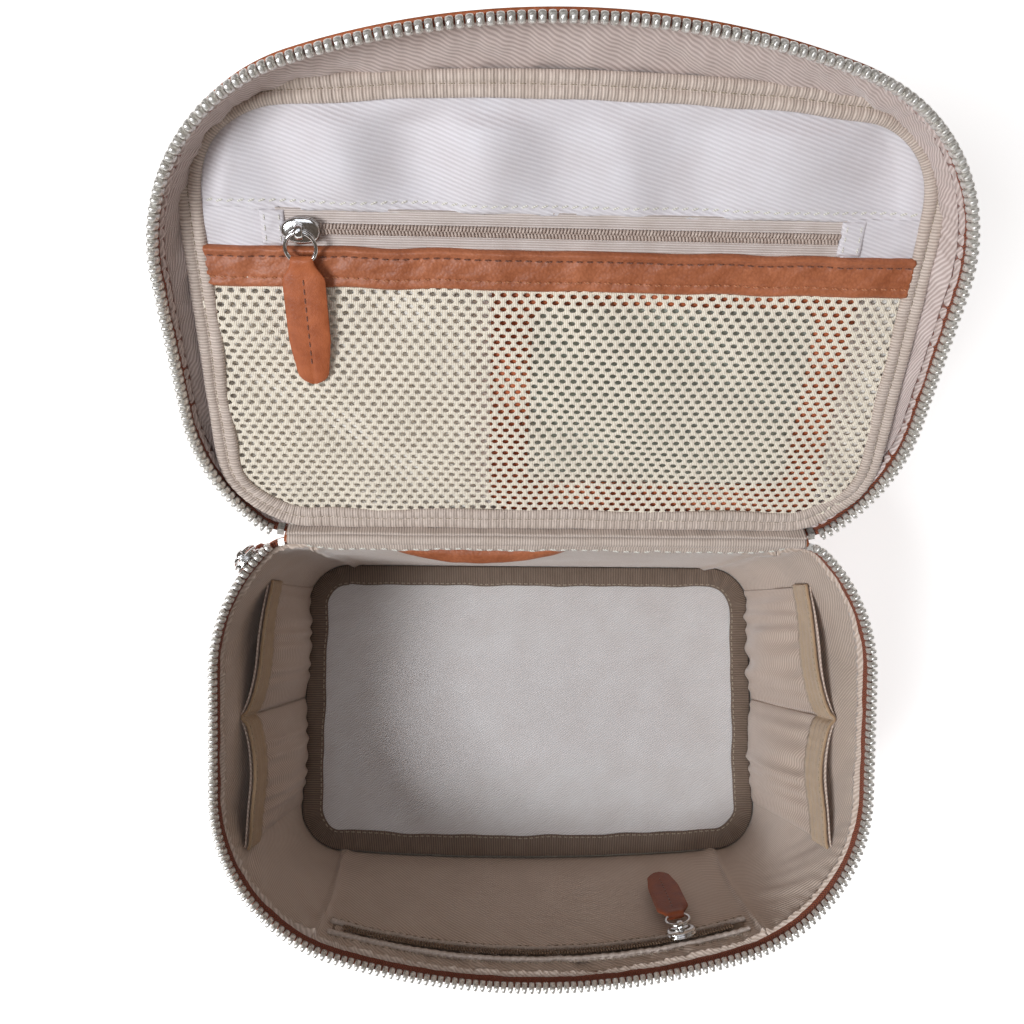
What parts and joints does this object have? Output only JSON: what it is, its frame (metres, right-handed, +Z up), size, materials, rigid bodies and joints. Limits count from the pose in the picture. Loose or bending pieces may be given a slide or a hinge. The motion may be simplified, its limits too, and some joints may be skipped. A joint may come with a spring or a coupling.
{
  "type": "leather jewellery case",
  "caption": "Zip-round leather case with a hinged lid, padded fabric lining, elastic side pockets, a zipped front pocket and a mirror behind a mesh pocket in the lid.",
  "frame": {"origin": "centre of the base panel on its underside, on the surface the case stands on", "axes": "+Z up, +X to the right of someone facing the open case, +Y to the back, where the lid is hinged; rest is the lid swung fully open"},
  "size_m": [0.234, 0.282, 0.2277],
  "materials": {
    "tan_leather": "semi-matt grained full leather",
    "lining_twill": "matt twill weave, light pinkish grey",
    "floor_fabric": "matt brushed light grey weave",
    "binding_tape": "ribbed grosgrain tape, taupe",
    "main_zip_tape": "herringbone zip tape, tan brown",
    "beige_zip_tape": "woven beige zip tape",
    "elastic_band": "ribbed beige elastic",
    "pocket_mesh": "ivory knitted mesh",
    "teeth_metal": "bright polished zip teeth",
    "slider_metal": "polished die-cast sliders and rings",
    "nylon_coil": "beige nylon coil",
    "mirror_glass": "silvered glass",
    "board": "grey-brown fibre board"
  },
  "bodies": {
    "case": {"base_leather": "tan_leather", "base_board": "board", "floor_lining": "floor_fabric", "floor_binding": "binding_tape", "front_wall_leather": "tan_leather", "back_wall_leather": "tan_leather", "left_wall_leather": "tan_leather", "right_wall_leather": "tan_leather", "back_wall_board": "board", "left_wall_board": "board", "right_wall_board": "board", "front_wall_lining": "lining_twill", "back_wall_lining": "lining_twill", "left_wall_lining": "lining_twill", "right_wall_lining": "lining_twill", "front_pocket_bag": "lining_twill", "right_rear_pocket": "lining_twill", "left_rear_pocket": "lining_twill", "right_front_pocket": "lining_twill", "left_front_pocket": "lining_twill", "right_pocket_elastic": "elastic_band", "left_pocket_elastic": "elastic_band", "front_pocket_zip_tape": "beige_zip_tape", "front_pocket_zip_coil": "nylon_coil", "main_zip_tape_body": "main_zip_tape", "main_zip_teeth_body": "teeth_metal", "main_zip_stops_body": "teeth_metal", "main_zip_slider": "slider_metal", "hinge_leather_body": "tan_leather"},
    "front_slider": {"front_pocket_slider": "slider_metal"},
    "front_pull": {"front_pocket_ring": "slider_metal", "front_pocket_pull": "tan_leather"},
    "main_pull": {"main_zip_ring": "slider_metal", "main_zip_pull": "tan_leather"},
    "lid": {"main_zip_tape_lid": "main_zip_tape", "main_zip_teeth_lid": "teeth_metal", "main_zip_stops_lid": "teeth_metal", "hinge_leather_lid": "tan_leather", "lid_leather_panel": "tan_leather", "lid_board": "board", "lid_gusset_leather": "tan_leather", "lid_gusset_lining": "lining_twill", "lid_backing_lining": "lining_twill", "lid_hinge_binding": "binding_tape", "lid_panel_binding": "binding_tape", "mesh_pocket": "pocket_mesh", "lid_upper_lining": "lining_twill", "lid_zip_tape": "beige_zip_tape", "lid_zip_coil": "nylon_coil", "lid_zip_end_tabs": "lining_twill", "lid_leather_band": "tan_leather", "mirror_frame": "tan_leather", "mirror_glass": "mirror_glass"},
    "lid_slider": {"lid_zip_slider": "slider_metal"},
    "lid_pull": {"lid_zip_ring": "slider_metal", "lid_zip_pull": "tan_leather"}
  },
  "joints": [
    {"name": "lid_hinge", "type": "hinge", "parent": "case", "child": "lid", "pos_m": [0, 0.069, 0.118], "axis": [1, 0, 0], "range_deg": [0, 146]},
    {"name": "lid_zip_slide", "type": "slide", "parent": "lid", "child": "lid_slider", "axis": [1, 0, 0], "range_m": [0, 0.151]},
    {"name": "lid_pull_swing", "type": "hinge", "parent": "lid_slider", "child": "lid_pull", "pos_m": [-0.0755, 0.15011, 0.18234], "axis": [-1, 0, 0], "range_deg": [0, 115]},
    {"name": "front_zip_slide", "type": "hinge", "parent": "case", "child": "front_slider", "pos_m": [0, 0.1864, 0.11837], "axis": [0, -0.1564, 0.9877], "range_deg": [-26.25, 3.45]},
    {"name": "front_pull_swing", "type": "hinge", "parent": "front_slider", "child": "front_pull", "pos_m": [0.05271, -0.07167, 0.07749], "axis": [0.9803, 0.1953, 0.0309], "range_deg": [0, 100]},
    {"name": "main_pull_swing", "type": "hinge", "parent": "case", "child": "main_pull", "pos_m": [-0.1064, 0.06354, 0.11288], "axis": [0.6204, 0.7843, 0], "range_deg": [0, 100]}
  ]
}
